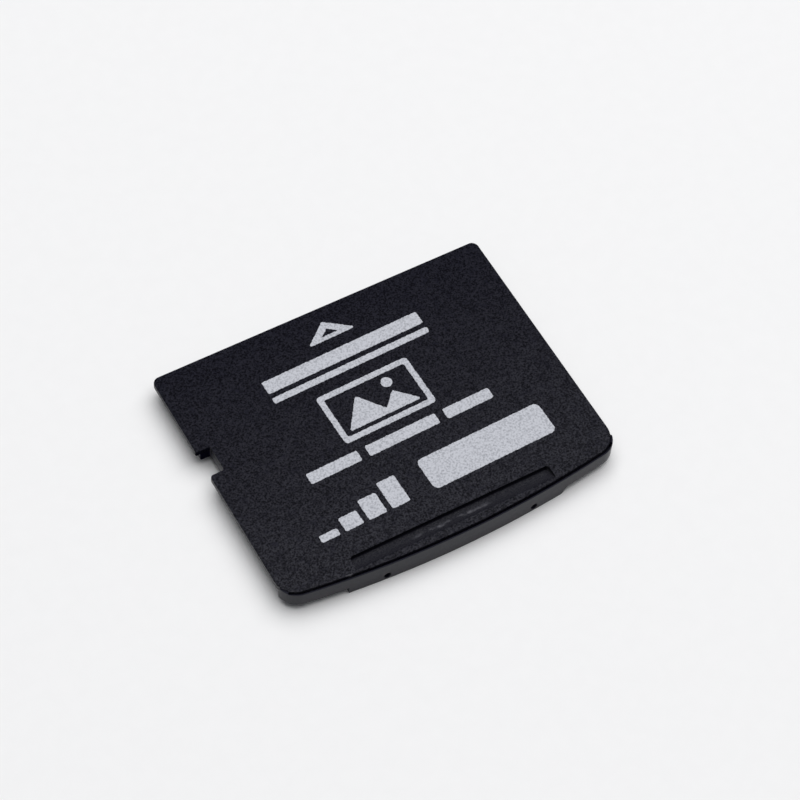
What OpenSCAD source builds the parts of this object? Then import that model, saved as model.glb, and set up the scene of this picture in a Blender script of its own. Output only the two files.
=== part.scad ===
// Removable picture memory card with a bowed grip edge, a side notch and a finger pocket.
// Label face up (+Z), contact edge towards +Y, width along X, lowest face on z = 0.

/* [Card] */
// Width of the card
card_w = 25; // [23:0.1:27]
// Length of the card, from the middle of the grip edge to the contact edge
card_l = 20; // [19:0.1:24]
// Thickness over all, print included
card_t = 1.78; // [1.7:0.01:2.2]
// Radius of the bowed grip edge
grip_bow_r = 77; // [60:1:200]
// Corner radius at the grip edge
grip_corner_r = 1.5; // [1:0.1:2.5]
// Corner radius at the contact edge
contact_corner_r = 0.5; // [0.2:0.1:1.2]

/* [Top cover] */
// Thickness of the cover plate
cover_t = 0.45; // [0.35:0.01:0.6]
// Overhang of the cover past the case, along the slot guides
guide_overhang = 0.35; // [0.2:0.05:0.6]
// Width of the rib that locates the cover in the case
rib_w = 0.5; // [0.3:0.05:0.8]
// Depth of the locating rib
rib_h = 0.25; // [0.15:0.01:0.4]

/* [Finger pocket] */
// Length of the pocket along the card's width
pocket_w = 14.9; // [10:0.1:18]
// Distance of the pocket's steep wall from the grip edge
pocket_setback = 1.89; // [1.7:0.01:2.3]
// Run of the scooped floor, from the steep wall towards the grip edge
pocket_run = 1.05; // [0.8:0.05:1.2]
// Depth at the steep wall
pocket_depth = 0.4; // [0.3:0.01:0.5]
// Corner radius of the pocket, seen from above
pocket_corner_r = 0.25; // [0.15:0.05:0.4]
// Material left under and behind the pocket
pocket_skin = 0.22; // [0.15:0.01:0.3]

/* [Grip seam] */
// Width of the case lip in front of the cover
lip_w = 0.1; // [0.08:0.01:0.2]
// Width of the groove between lip and cover
groove_w = 0.18; // [0.1:0.01:0.25]
// Distance of the lip's ends from the card's sides
lip_end = 0.35; // [0.2:0.05:0.6]
// Distance of the groove's closed corners from the card's sides
corner_end = 0.06; // [0.04:0.01:0.12]

/* [Bottom case] */
// Length of the full-depth grip block
grip_l = 2.1; // [1.8:0.1:4]
// Thickness of the card at the side rails
rail_t = 1.2; // [1.1:0.01:1.4]
// Thickness of the floor under the board
floor_t = 0.22; // [0.15:0.01:0.3]
// Wall of the pad beside the board
pad_wall = 0.6; // [0.45:0.05:1]
// Bevel of the pad's right-hand side
pad_bevel = 0.44; // [0.2:0.02:0.5]
// Wall between the board and the contact edge
nose_wall = 0.6; // [0.45:0.05:0.8]
// Lead-in chamfer under the contact edge
lead_in = 0.3; // [0.15:0.05:0.4]
// Fit clearance between pieces that drop into each other
fit_gap = 0.05; // [0.03:0.01:0.1]

/* [Moulding marks] */
// Radius of the small holes in the grip wall
grip_hole_r = 0.24; // [0.12:0.01:0.28]
// Depth of the small holes
grip_hole_depth = 0.25; // [0.15:0.01:0.35]
// Distance between the two small holes
grip_hole_pitch = 11.02; // [6:0.1:14]
// Height of the small holes above the lowest face
grip_hole_z = 0.45; // [0.35:0.01:0.6]
// Radius of the ejector marks under the pad
ejector_r = 0.6; // [0.4:0.1:1]
// Depth of the ejector marks
ejector_depth = 0.03; // [0.02:0.01:0.05]
// Distance between the ejector marks along the card's width
ejector_pitch = 11; // [8:0.5:12]
// Distance of the ejector marks from the board's inner end and from the contact window
ejector_inset = 1.2; // [1:0.1:2]

/* [Side notch] */
// Depth of the notch into the side
notch_depth = 1.05; // [0.8:0.05:1.5]
// Width of the notch along the side
notch_w = 2; // [1.5:0.1:2.5]
// Distance of the notch's far wall from the contact edge
notch_setback = 6.5; // [5:0.05:8]
// Radius of the notch's inner corners
notch_r = 0.15; // [0.1:0.05:0.3]

/* [Board and contacts] */
// Number of contacts
contact_count = 18; // [18]
// Spacing of the contacts
contact_pitch = 0.8; // [0.75:0.01:0.85]
// Width of a contact
contact_w = 0.55; // [0.4:0.01:0.62]
// Length of a contact
contact_l = 2.4; // [2:0.1:3]
// Thickness of the plating that makes a contact
contact_t = 0.035; // [0.02:0.005:0.05]
// Corner radius of a contact
contact_r = 0.1; // [0.05:0.01:0.2]
// Clear margin round the contacts in their window
window_gap = 0.15; // [0.1:0.01:0.3]
// Board ledge round the window
board_ledge = 0.325; // [0.25:0.025:0.5]
// Thickness of the board
board_t = 0.25; // [0.2:0.01:0.3]
// Length of the board
board_l = 15.6; // [14:0.1:16]

/* [Parts on the board] */
// Width of the memory package
memory_w = 12.4; // [10:0.1:14]
// Length of the memory package
memory_l = 10.6; // [8:0.1:11]
// Thickness of the memory package
memory_t = 0.68; // [0.5:0.01:0.7]
// Distance of the memory package from the board's inner end
memory_setback = 0.8; // [0.4:0.1:1.2]
// Radius of the first-pin dimple on the package
dimple_r = 0.35; // [0.2:0.05:0.5]
// Depth of the first-pin dimple
dimple_depth = 0.05; // [0.02:0.01:0.08]
// Distance of the dimple's middle from the package's sides
dimple_inset = 1.05; // [0.8:0.05:1.5]
// Length of a chip capacitor or resistor
passive_l = 1; // [0.6:0.1:1.2]
// Width of a chip capacitor or resistor
passive_w = 0.5; // [0.3:0.05:0.6]
// Thickness of a chip capacitor
capacitor_t = 0.5; // [0.3:0.05:0.55]
// Thickness of the chip resistor
resistor_t = 0.35; // [0.2:0.05:0.4]
// Length of the metal end caps of a chip
cap_l = 0.22; // [0.15:0.01:0.3]
// Height of the end caps above the chip's body
cap_step = 0.02; // [0.01:0.005:0.04]
// Spacing between the chips beside the memory package
passive_pitch = 3.4; // [2:0.1:5]
// Distance of the chips from the board's contact end
passive_setback = 2; // [1.2:0.1:2.6]

/* [Print] */
// Thickness of the printed ink
ink_t = 0.02; // [0.01:0.005:0.03]
// Turn of the whole print against the card, in degrees
print_turn = 1.42; // [0:0.02:2]
// Length of the writing panel
panel_w = 9.43; // [7:0.05:10]
// Height of the writing panel
panel_h = 2.52; // [2:0.05:2.8]
// Corner radius of the writing panel
panel_r = 0.4; // [0.2:0.05:0.8]
// Distance of the writing panel's middle to the right of the card's middle, before its turn
panel_inset = 4.65; // [3.5:0.01:5]
// Distance of the writing panel's middle in front of the card's middle, before its turn
panel_setback = 4.94; // [4.4:0.02:5.3]
// Width of the insertion arrow
arrow_w = 3.7; // [2.5:0.1:5]
// Height of the insertion arrow
arrow_h = 1.45; // [1:0.05:2]
// Size of the arrow's open middle, as a share of the arrow
arrow_open = 0.34; // [0.2:0.01:0.5]
// Distance of the arrow's base line behind the card's middle
arrow_setback = 7.42; // [7:0.02:7.8]
// Length of the title bars
title_w = 12; // [9:0.1:13]
// Height of the title bars' block
title_h = 1.9; // [1.4:0.1:2.2]
// Height of the rule under the title bar
title_rule = 0.48; // [0.2:0.02:0.5]
// Gap between the title bar and its rule
title_gap = 0.38; // [0.2:0.02:0.5]
// Distance of the title block's middle behind the card's middle
title_setback = 5.55; // [5:0.05:5.8]
// Width of the picture emblem
emblem_w = 7; // [5:0.1:9]
// Height of the picture emblem
emblem_h = 4.1; // [3:0.1:4.4]
// Line width of the picture emblem
emblem_line = 0.42; // [0.25:0.01:0.6]
// Gap between the emblem's frame and the landscape in it
emblem_gap = 0.3; // [0.2:0.02:0.4]
// Width of the larger hill in the emblem
hill_w = 3.4; // [3:0.1:3.6]
// Height of the larger hill
hill_h = 2.3; // [1.8:0.05:2.5]
// Width of the smaller hill
low_hill_w = 2.9; // [2:0.1:3]
// Height of the smaller hill
low_hill_h = 1.5; // [1:0.05:1.6]
// Distance between the middles of the two hills
hill_pitch = 2.4; // [2:0.1:2.5]
// Radius of the sun in the emblem
sun_r = 0.4; // [0.3:0.01:0.45]
// Distance of the emblem's middle behind the card's middle
emblem_setback = 1.6; // [1.4:0.05:2]
// Length of the format bars, gaps included
format_w = 14; // [10:0.1:15]
// Height of the format bars
format_h = 0.85; // [0.5:0.05:1.2]
// Gap between the format bars
format_gap = 0.6; // [0.3:0.05:0.9]
// Distance of the format bars' middle in front of the card's middle
format_setback = 1.6; // [1.4:0.05:2]
// Width of one step of the capacity gauge
gauge_step = 1.35; // [1:0.05:1.6]
// Gap between the steps of the gauge
gauge_gap = 0.4; // [0.2:0.05:0.8]
// Height of the tallest step of the gauge
gauge_h = 2.2; // [1.6:0.1:2.6]
// Distance of the gauge's left end to the left of the card's middle
gauge_inset = 8.6; // [8:0.1:10]
// Distance of the gauge's base line in front of the card's middle
gauge_setback = 6.2; // [5.5:0.05:6.5]
// Number of steps in the gauge
gauge_steps = 4; // [3:1:5]

/* [Hidden] */
// Overlap that carries a cut cleanly past a face
EPS = 0.05;
// Circle resolution of the large bow and of small rounds
FN_BOW = 400;
FN_ROUND = 48;

// Half sizes: the contact edge is at half_l, the grip edge at -half_l, the sides at half_w
half_w = card_w / 2;
half_l = card_l / 2;

// Levels, from the lowest face up
cover_top = card_t - ink_t;
cover_bottom = cover_top - cover_t;
rail_z = card_t - rail_t;
board_bottom = floor_t;
board_top = board_bottom + board_t;
land_bottom = cover_top - pocket_depth - pocket_skin;

// Board, window and pad, all worked out from the contact row
contact_span = (contact_count - 1) * contact_pitch + contact_w;
window_w = contact_span + 2 * window_gap;
window_l = contact_l + 2 * window_gap;
board_w = window_w + 2 * board_ledge;
cavity_w = board_w + 2 * fit_gap;
pad_w = cavity_w + 2 * pad_wall;
board_y1 = half_l - nose_wall - fit_gap;
board_y0 = board_y1 - board_l;
window_y1 = board_y1 - board_ledge;
contact_y = window_y1 - window_gap - contact_l / 2;

// Grip edge
bow_y = grip_bow_r - half_l;
fillet_x = half_w - grip_corner_r;
fillet_y = bow_y - sqrt(pow(grip_bow_r - grip_corner_r, 2) - fillet_x * fillet_x);
tangent_x = fillet_x * grip_bow_r / (grip_bow_r - grip_corner_r);
lip_end_x = half_w - lip_end;
corner_end_x = half_w - corner_end;
cover_setback = lip_w + groove_w;

// Finger pocket
pocket_y1 = pocket_setback - half_l;
pocket_y0 = pocket_y1 - pocket_run;
scoop_r = (pocket_run * pocket_run + pocket_depth * pocket_depth) / (2 * pocket_depth);
land_w = pocket_w + 2 * pocket_skin;
land_y1 = pocket_y1 + pocket_skin;

// Side notch
notch_y1 = half_l - notch_setback;
notch_y0 = notch_y1 - notch_w;
notch_x = notch_depth - half_w;

// Parts on the board
memory_y0 = board_y0 + memory_setback;
passive_y = board_y1 - passive_setback;

// Print: places inside the emblem, and the format bars' shares of their row
emblem_ground = emblem_line + emblem_gap - emblem_h / 2;
low_hill_x = emblem_w / 2 - emblem_line - emblem_gap - low_hill_w / 2;
sun_y = (emblem_ground + low_hill_h + emblem_h / 2 - emblem_line) / 2;
format_shares = [0.3, 0.42, 0.28];

contact_names = [for (i = [1:contact_count]) str("contact_", i < 10 ? "0" : "", i)];

// Flat outline of the card: straight sides, bowed grip edge, four rounded corners
module card_outline() {
    intersection() {
        translate([0, bow_y]) circle(grip_bow_r, $fn = FN_BOW);
        translate([-tangent_x, -half_l]) square([2 * tangent_x, card_l - contact_corner_r]);
    }
    for (side = [-1, 1]) {
        translate([side * fillet_x, fillet_y]) circle(grip_corner_r, $fn = FN_ROUND);
        translate([side * (half_w - contact_corner_r), half_l - contact_corner_r])
            circle(contact_corner_r, $fn = FN_ROUND);
    }
    translate([-half_w, fillet_y]) square([card_w, half_l - contact_corner_r - fillet_y]);
    translate([contact_corner_r - half_w, 0]) square([card_w - 2 * contact_corner_r, half_l]);
}

// Rectangle w by h with corner radius r, its middle on the origin
module round_rect(w, h, r) {
    square([w - 2 * r, h], center = true);
    square([w, h - 2 * r], center = true);
    for (x = [-1, 1], y = [-1, 1])
        translate([x * (w / 2 - r), y * (h / 2 - r)]) circle(r, $fn = FN_ROUND);
}

// Outline of the cover, set back behind the lip and the groove at the grip edge
module cover_outline() {
    intersection() {
        card_outline();
        translate([0, cover_setback]) card_outline();
    }
}

// Flat shape of the side notch, open at the side
module notch_outline() {
    translate([-half_w - EPS, notch_y0])
        square([notch_depth + EPS - notch_r, notch_w]);
    translate([-half_w - EPS, notch_y0 + notch_r])
        square([notch_depth + EPS, notch_w - 2 * notch_r]);
    for (y = [notch_y0 + notch_r, notch_y1 - notch_r])
        translate([notch_x - notch_r, y]) circle(notch_r, $fn = FN_ROUND);
}

// Scooped pocket: a steep wall, rounded ends and a floor that is part of a cylinder
module pocket_cut() {
    intersection() {
        translate([0, (pocket_y0 + pocket_y1) / 2, cover_top - pocket_depth - EPS])
            linear_extrude(pocket_depth + 2 * EPS)
                round_rect(pocket_w, pocket_run, pocket_corner_r);
        translate([0, pocket_y1, cover_top - pocket_depth + scoop_r]) rotate([0, 90, 0])
            cylinder(r = scoop_r, h = pocket_w + 2 * EPS, center = true, $fn = FN_ROUND);
    }
}

// Block under the cover plate that gives the pocket its depth, grown by a margin for its seat
module land(margin = 0) {
    translate([-land_w / 2 - margin, pocket_y0 - margin, land_bottom - margin])
        cube([land_w + 2 * margin, land_y1 - pocket_y0 + 2 * margin, cover_bottom - land_bottom + margin]);
}

// Cover with its label face up
module top_cover() {
    color("#26262c") difference() {
        union() {
            translate([0, 0, cover_bottom]) linear_extrude(cover_t) cover_outline();
            land();
            locating_rib();
        }
        translate([0, 0, cover_bottom - EPS]) linear_extrude(cover_t + 2 * EPS) notch_outline();
        pocket_cut();
    }
}

// Rib under the cover that drops into the board cavity
module locating_rib() {
    rib_out_w = cavity_w - 2 * fit_gap;
    rib_l = board_l;
    translate([0, (board_y0 + board_y1) / 2, cover_bottom - rib_h]) linear_extrude(rib_h)
        difference() {
            square([rib_out_w, rib_l], center = true);
            square([rib_out_w - 2 * rib_w, rib_l - 2 * rib_w], center = true);
        }
}

// Raised pad under the card, upright on its left and bevelled on its right
module pad() {
    intersection() {
        linear_extrude(rail_z + EPS) card_outline();
        translate([0, half_l, 0]) rotate([90, 0, 0]) linear_extrude(card_l) polygon([
            [-pad_w / 2, 0],
            [pad_w / 2 - pad_bevel, 0],
            [pad_w / 2, rail_z],
            [pad_w / 2, rail_z + EPS],
            [-pad_w / 2, rail_z + EPS]
        ]);
    }
}

// Strip along the grip edge from x0 to x1, as wide as w at the edge's middle
module edge_strip(w, x0, x1) {
    intersection() {
        difference() {
            card_outline();
            translate([0, w]) card_outline();
        }
        translate([x0, -half_l]) square([x1 - x0, half_l]);
    }
}

// Thin lip in front of the cover, and the corners where it widens and closes the groove
module grip_lip() {
    translate([0, 0, cover_bottom - EPS]) linear_extrude(cover_t + EPS) {
        edge_strip(lip_w, -lip_end_x - EPS, lip_end_x + EPS);
        edge_strip(cover_setback, -corner_end_x, -lip_end_x);
        edge_strip(cover_setback, lip_end_x, corner_end_x);
    }
}

// Case body before it is hollowed: grip block, slimmer guide block, pad and lip
module case_body() {
    body_t = cover_bottom - rail_z;
    translate([0, 0, rail_z]) linear_extrude(body_t) intersection() {
        card_outline();
        translate([-half_w, -half_l]) square([card_w, grip_l]);
    }
    translate([0, 0, rail_z]) linear_extrude(body_t) intersection() {
        card_outline();
        translate([guide_overhang - half_w, -half_l])
            square([card_w - 2 * guide_overhang, card_l]);
    }
    pad();
    grip_lip();
}

// Chamfer that leads the card's underside into a slot
module lead_in_cut() {
    translate([-half_w - EPS, half_l, 0]) rotate([90, 0, 90])
        linear_extrude(card_w + 2 * EPS)
            polygon([[-lead_in, -EPS], [-lead_in, 0], [0, lead_in], [EPS, lead_in], [EPS, -EPS]]);
}

// Moulding marks: two small holes in the grip wall and shallow ejector rounds under the pad
module moulding_marks() {
    hole_x = grip_hole_pitch / 2;
    hole_y = bow_y - sqrt(grip_bow_r * grip_bow_r - hole_x * hole_x);
    for (side = [-1, 1])
        translate([side * hole_x, hole_y + grip_hole_depth, grip_hole_z]) rotate([90, 0, 0])
            cylinder(r = grip_hole_r, h = grip_hole_depth + grip_hole_r, $fn = FN_ROUND);
    for (side = [-1, 1], y = [board_y0 + ejector_inset, window_y1 - window_l - ejector_inset])
        translate([side * ejector_pitch / 2, y, -EPS])
            cylinder(r = ejector_r, h = EPS + ejector_depth, $fn = FN_ROUND);
}

// Case with the board cavity and the contact window
module bottom_case() {
    color("#1b1b20") difference() {
        case_body();
        translate([-cavity_w / 2, board_y0 - fit_gap, board_bottom])
            cube([cavity_w, board_l + 2 * fit_gap, cover_bottom - board_bottom + EPS]);
        translate([-window_w / 2, window_y1 - window_l, -EPS])
            cube([window_w, window_l, board_bottom + 2 * EPS]);
        translate([0, 0, rail_z - EPS]) linear_extrude(card_t) notch_outline();
        land(fit_gap);
        lead_in_cut();
        moulding_marks();
    }
}

// Laminate board under the memory package
module circuit_board() {
    color("#1f5a3a") translate([-board_w / 2, board_y0, board_bottom])
        cube([board_w, board_l, board_t]);
}

// Plated contact at place i in the row
module contact(i) {
    color("#d9b25c")
        translate([(i - (contact_count - 1) / 2) * contact_pitch, contact_y, board_bottom - contact_t])
            linear_extrude(contact_t) round_rect(contact_w, contact_l, contact_r);
}

// Moulded package that holds the memory dies
module memory_package() {
    color("#2b2b2e") difference() {
        translate([-memory_w / 2, memory_y0, board_top]) cube([memory_w, memory_l, memory_t]);
        translate([dimple_inset - memory_w / 2, memory_y0 + memory_l - dimple_inset,
                   board_top + memory_t - dimple_depth])
            cylinder(r = dimple_r, h = dimple_depth + EPS, $fn = FN_ROUND);
    }
}

// Ceramic chip at place x: a slimmer body between two metal end caps
module chip(x, thickness) {
    translate([x - passive_l / 2, passive_y - passive_w / 2, board_top]) {
        cube([cap_l, passive_w, thickness]);
        translate([passive_l - cap_l, 0, 0]) cube([cap_l, passive_w, thickness]);
        translate([cap_l, cap_step, 0])
            cube([passive_l - 2 * cap_l, passive_w - 2 * cap_step, thickness - cap_step]);
    }
}

// Puts a flat shape on the cover as a layer of ink, turned with the whole print
module ink() {
    color("#c9c9cf") translate([0, 0, cover_top]) linear_extrude(ink_t) rotate(print_turn) children();
}

// Triangle with its base from -w/2 to w/2
module triangle(w, h) {
    polygon([[-w / 2, 0], [w / 2, 0], [0, h]]);
}

// Open triangle that points to the contact edge
module insertion_arrow() {
    ink() translate([0, arrow_setback]) difference() {
        triangle(arrow_w, arrow_h);
        translate([0, arrow_h * (1 - arrow_open) / 3]) triangle(arrow_w * arrow_open, arrow_h * arrow_open);
    }
}

// Broad bar over a thin rule
module title_bars() {
    ink() translate([-title_w / 2, title_setback - title_h / 2]) {
        square([title_w, title_rule]);
        translate([0, title_rule + title_gap]) square([title_w, title_h - title_rule - title_gap]);
    }
}

// Framed landscape: two hills and a sun
module picture_emblem() {
    ink() translate([0, emblem_setback]) {
        difference() {
            square([emblem_w, emblem_h], center = true);
            square([emblem_w - 2 * emblem_line, emblem_h - 2 * emblem_line], center = true);
        }
        translate([low_hill_x - hill_pitch, emblem_ground]) triangle(hill_w, hill_h);
        translate([low_hill_x, emblem_ground]) triangle(low_hill_w, low_hill_h);
        translate([low_hill_x, sun_y]) circle(sun_r, $fn = FN_ROUND);
    }
}

// Row of bars of unequal length
module format_bars() {
    gaps = len(format_shares) - 1;
    solid_w = format_w - gaps * format_gap;
    ink() translate([-format_w / 2, -format_setback - format_h / 2])
        for (i = [0:gaps])
            translate([solid_w * sum(format_shares, i) + i * format_gap, 0])
                square([solid_w * format_shares[i], format_h]);
}

// Steps that rise to the right
module capacity_gauge() {
    ink() translate([-gauge_inset, -gauge_setback])
        for (i = [0:gauge_steps - 1])
            translate([i * (gauge_step + gauge_gap), 0])
                square([gauge_step, gauge_h * (i + 1) / gauge_steps]);
}

// Field that the owner can write on
module writing_panel() {
    ink() rotate(-print_turn) translate([panel_inset, -panel_setback])
        rotate(print_turn) round_rect(panel_w, panel_h, panel_r);
}

// Sum of the first n values of a list
function sum(values, n) = n == 0 ? 0 : values[n - 1] + sum(values, n - 1);

top_cover();
bottom_case();
circuit_board();
memory_package();
color("#b9a888") chip(-passive_pitch, capacitor_t);  // capacitor_1
color("#b9a888") chip(0, capacitor_t);  // capacitor_2
color("#303030") chip(passive_pitch, resistor_t);  // pull_up_resistor
insertion_arrow();
title_bars();
picture_emblem();
format_bars();
capacity_gauge();
writing_panel();
for (i = [0:contact_count - 1])
    contact(i);
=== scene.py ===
"""Looks of a removable picture memory card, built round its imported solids.

Lengths in the classes are millimetres, as in the solid model. They turn into metres where a
surface becomes a Blender mesh. The label faces up, the contact edge is towards +Y.
"""

import logging
from dataclasses import dataclass
from enum import Enum

import bmesh
import bpy
import numpy as np
from mathutils import Matrix, Vector


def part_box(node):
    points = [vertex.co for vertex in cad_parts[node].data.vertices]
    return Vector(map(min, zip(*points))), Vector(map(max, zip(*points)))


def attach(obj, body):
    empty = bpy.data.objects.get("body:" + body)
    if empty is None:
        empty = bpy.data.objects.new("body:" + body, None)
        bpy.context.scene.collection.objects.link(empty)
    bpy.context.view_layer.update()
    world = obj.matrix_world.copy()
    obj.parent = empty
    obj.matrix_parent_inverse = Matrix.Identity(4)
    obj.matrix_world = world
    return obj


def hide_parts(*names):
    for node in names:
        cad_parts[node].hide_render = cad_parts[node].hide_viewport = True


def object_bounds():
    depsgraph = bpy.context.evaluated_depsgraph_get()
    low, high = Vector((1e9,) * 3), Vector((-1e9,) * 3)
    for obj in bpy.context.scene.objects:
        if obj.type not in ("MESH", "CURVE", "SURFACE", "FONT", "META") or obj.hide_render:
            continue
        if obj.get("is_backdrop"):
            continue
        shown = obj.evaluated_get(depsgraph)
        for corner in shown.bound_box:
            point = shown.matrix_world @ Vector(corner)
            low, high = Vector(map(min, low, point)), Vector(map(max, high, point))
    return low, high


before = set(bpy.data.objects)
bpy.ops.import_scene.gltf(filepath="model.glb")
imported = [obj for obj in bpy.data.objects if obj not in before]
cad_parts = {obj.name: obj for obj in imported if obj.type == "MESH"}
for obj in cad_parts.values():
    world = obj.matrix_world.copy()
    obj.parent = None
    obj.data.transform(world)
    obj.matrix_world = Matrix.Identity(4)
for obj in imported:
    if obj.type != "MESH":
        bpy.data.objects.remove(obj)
LOG = logging.getLogger("memory_card")
BODY = "root"
METRES = 0.001
WELD_MM = 0.0004
DEGENERATE_MM = WELD_MM / 4
SAME_MM = 1e-9
FEWEST_POINTS = 16
WAVES = 8
SHARP_DEG = 32.0
FACE_WEIGHT = 100

Point = tuple[float, float]
Corners = tuple[Point, Point]
Tree = bpy.types.NodeTree
Socket = bpy.types.NodeSocket


class Join(Enum):
    """Ways in which one closed surface changes another."""

    ADD = "UNION"
    CUT = "DIFFERENCE"


def linear(hex_color: str) -> tuple[float, float, float, float]:
    """Turns an sRGB hex colour into Blender's linear colour.

    The numbers are the standard's: a straight line up to 0.04045, a power of 2.4 above it.

    Args:
        hex_color: Colour as "#rrggbb".

    Returns:
        Linear red, green, blue and an alpha of 1.
    """
    srgb = np.array([int(hex_color[i:i + 2], 16) for i in (1, 3, 5)]) / 255
    low, high = srgb / 12.92, ((srgb + 0.055) / 1.055) ** 2.4
    return (*np.where(srgb <= 0.04045, low, high).tolist(), 1.0)


@dataclass
class Path:
    """A closed flat path with its outward normals, run anticlockwise.

    Attributes:
        points: Array of n places in mm.
        normals: Array of n outward unit normals.
    """

    points: np.ndarray
    normals: np.ndarray

    @staticmethod
    def join(*parts: "Path") -> "Path":
        """Puts stretches of a path end to end.

        Args:
            *parts: The stretches, in order.

        Returns:
            The path.
        """
        return Path(np.vstack([p.points for p in parts]), np.vstack([p.normals for p in parts]))

    @staticmethod
    def chain(corners: list[tuple[float, float, float]], start: Point | None = None,
              end: Point | None = None, steps: int = 8) -> "Path":
        """Rounds each corner of a polygon or of an open line.

        At a corner the heading turns evenly from the incoming to the outgoing one. The point is
        the corner circle's centre plus its radius along the right-hand normal of that heading,
        or minus it where the path turns to the right.

        Args:
            corners: Corner x, y and radius, in order.
            start: Point that the path comes from, or None for a closed polygon.
            end: Point that the path goes on to, or None for a closed polygon.
            steps: Steps in each corner.

        Returns:
            The path. Straight stretches have no points of their own.
        """
        x, y, radius = np.array(corners, float).T
        place = np.column_stack([x, y])
        before = np.vstack([place[-1] if start is None else start, place[:-1]])
        after = np.vstack([place[1:], place[0] if end is None else end])
        heading_in = np.arctan2(*(place - before).T[::-1])
        heading_out = np.arctan2(*(after - place).T[::-1])
        turn = (heading_out - heading_in + np.pi) % (2 * np.pi) - np.pi
        side = np.sign(turn)
        heading = heading_in[:, None] + turn[:, None] * np.linspace(0, 1, steps + 1)
        normal = np.stack([np.sin(heading), -np.cos(heading)], axis=-1)
        forward = np.column_stack([np.cos(heading_in), np.sin(heading_in)])
        first = place - forward * (radius * np.tan(np.abs(turn) / 2))[:, None]
        reach = (side * radius)[:, None]
        centre = first - reach * normal[:, 0]
        points = centre[:, None] + reach[:, None] * normal
        return Path(points.reshape(-1, 2), normal.reshape(-1, 2))

    @staticmethod
    def rectangle(low: Point, high: Point, radius: float, turn_deg: float = 0.0,
                  steps: int = 8) -> "Path":
        """Gives a rectangle with round corners, turned about the origin.

        Args:
            low: Lowest corner.
            high: Highest corner.
            radius: Corner radius.
            turn_deg: Anticlockwise turn in degrees.
            steps: Steps in each corner.

        Returns:
            The path.
        """
        sides = [(low[0], low[1]), (high[0], low[1]), (high[0], high[1]), (low[0], high[1])]
        return Path.chain([(*p, radius) for p in sides], steps=steps).turned(turn_deg)

    @staticmethod
    def circle(centre: Point, radius: float, steps: int = 48) -> "Path":
        """Gives a circle: its centre plus the radius times a unit vector that turns once.

        Args:
            centre: Its centre.
            radius: Its radius.
            steps: Number of its points.

        Returns:
            The path.
        """
        angle = np.linspace(0, 2 * np.pi, steps, endpoint=False)
        ray = np.column_stack([np.cos(angle), np.sin(angle)])
        return Path(np.array(centre) + radius * ray, ray)

    @property
    def steps(self) -> np.ndarray:
        """Distance from each point to the next one, in mm."""
        return np.linalg.norm(np.roll(self.points, -1, axis=0) - self.points, axis=1)

    def turned(self, degrees: float) -> "Path":
        """Turns the path anticlockwise about the origin.

        Args:
            degrees: Angle in degrees.

        Returns:
            The turned path.
        """
        c, s = np.cos(np.radians(degrees)), np.sin(np.radians(degrees))
        spin = np.array([[c, s], [-s, c]])
        return Path(self.points @ spin, self.normals @ spin)

    def moved(self, x: float, y: float) -> "Path":
        """Moves the path.

        Args:
            x: Shift along X in mm.
            y: Shift along Y in mm.

        Returns:
            The moved path.
        """
        return Path(self.points + (x, y), self.normals)

    def spaced(self, step: float) -> "Path":
        """Samples the path again at even steps along its length.

        Args:
            step: Distance between points, in mm.

        Returns:
            The path, with normals taken between the old ones in the same way as the points.
        """
        loop = np.vstack([self.points, self.points[:1]])
        rays = np.vstack([self.normals, self.normals[:1]])
        length = np.concatenate([[0], np.cumsum(self.steps)])
        keep = np.concatenate([[True], np.diff(length) > SAME_MM])
        count = max(int(length[-1] / step), FEWEST_POINTS)
        at = np.linspace(0, length[-1], count, endpoint=False)
        points = np.column_stack([np.interp(at, length[keep], loop[keep, k]) for k in (0, 1)])
        normals = np.column_stack([np.interp(at, length[keep], rays[keep, k]) for k in (0, 1)])
        return Path(points, normals / np.linalg.norm(normals, axis=1, keepdims=True))

    def ragged(self, depth: float, wave: float, seed: int) -> "Path":
        """Makes the edge uneven, as ink on a textured surface is.

        Each point moves along its normal by a sum of WAVES sine waves round the path, from one
        of length wave to one WAVES times as short, with seeded phases. The sum is divided by its
        typical size, the root of half their number.

        Args:
            depth: Typical shift in mm.
            wave: Longest wave in mm.
            seed: Seed of the phases.

        Returns:
            The uneven path.
        """
        rng = np.random.default_rng(seed)
        length = self.steps.sum()
        along = np.cumsum(self.steps)[:, None] / length * 2 * np.pi
        turns = np.round(length / wave * np.arange(1, WAVES + 1)) + 1
        waves = np.sin(along * turns + rng.uniform(0, 2 * np.pi, WAVES)).sum(axis=1)
        shift = depth * waves / np.sqrt(WAVES / 2)
        return Path(self.points + self.normals * shift[:, None], self.normals)


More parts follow.
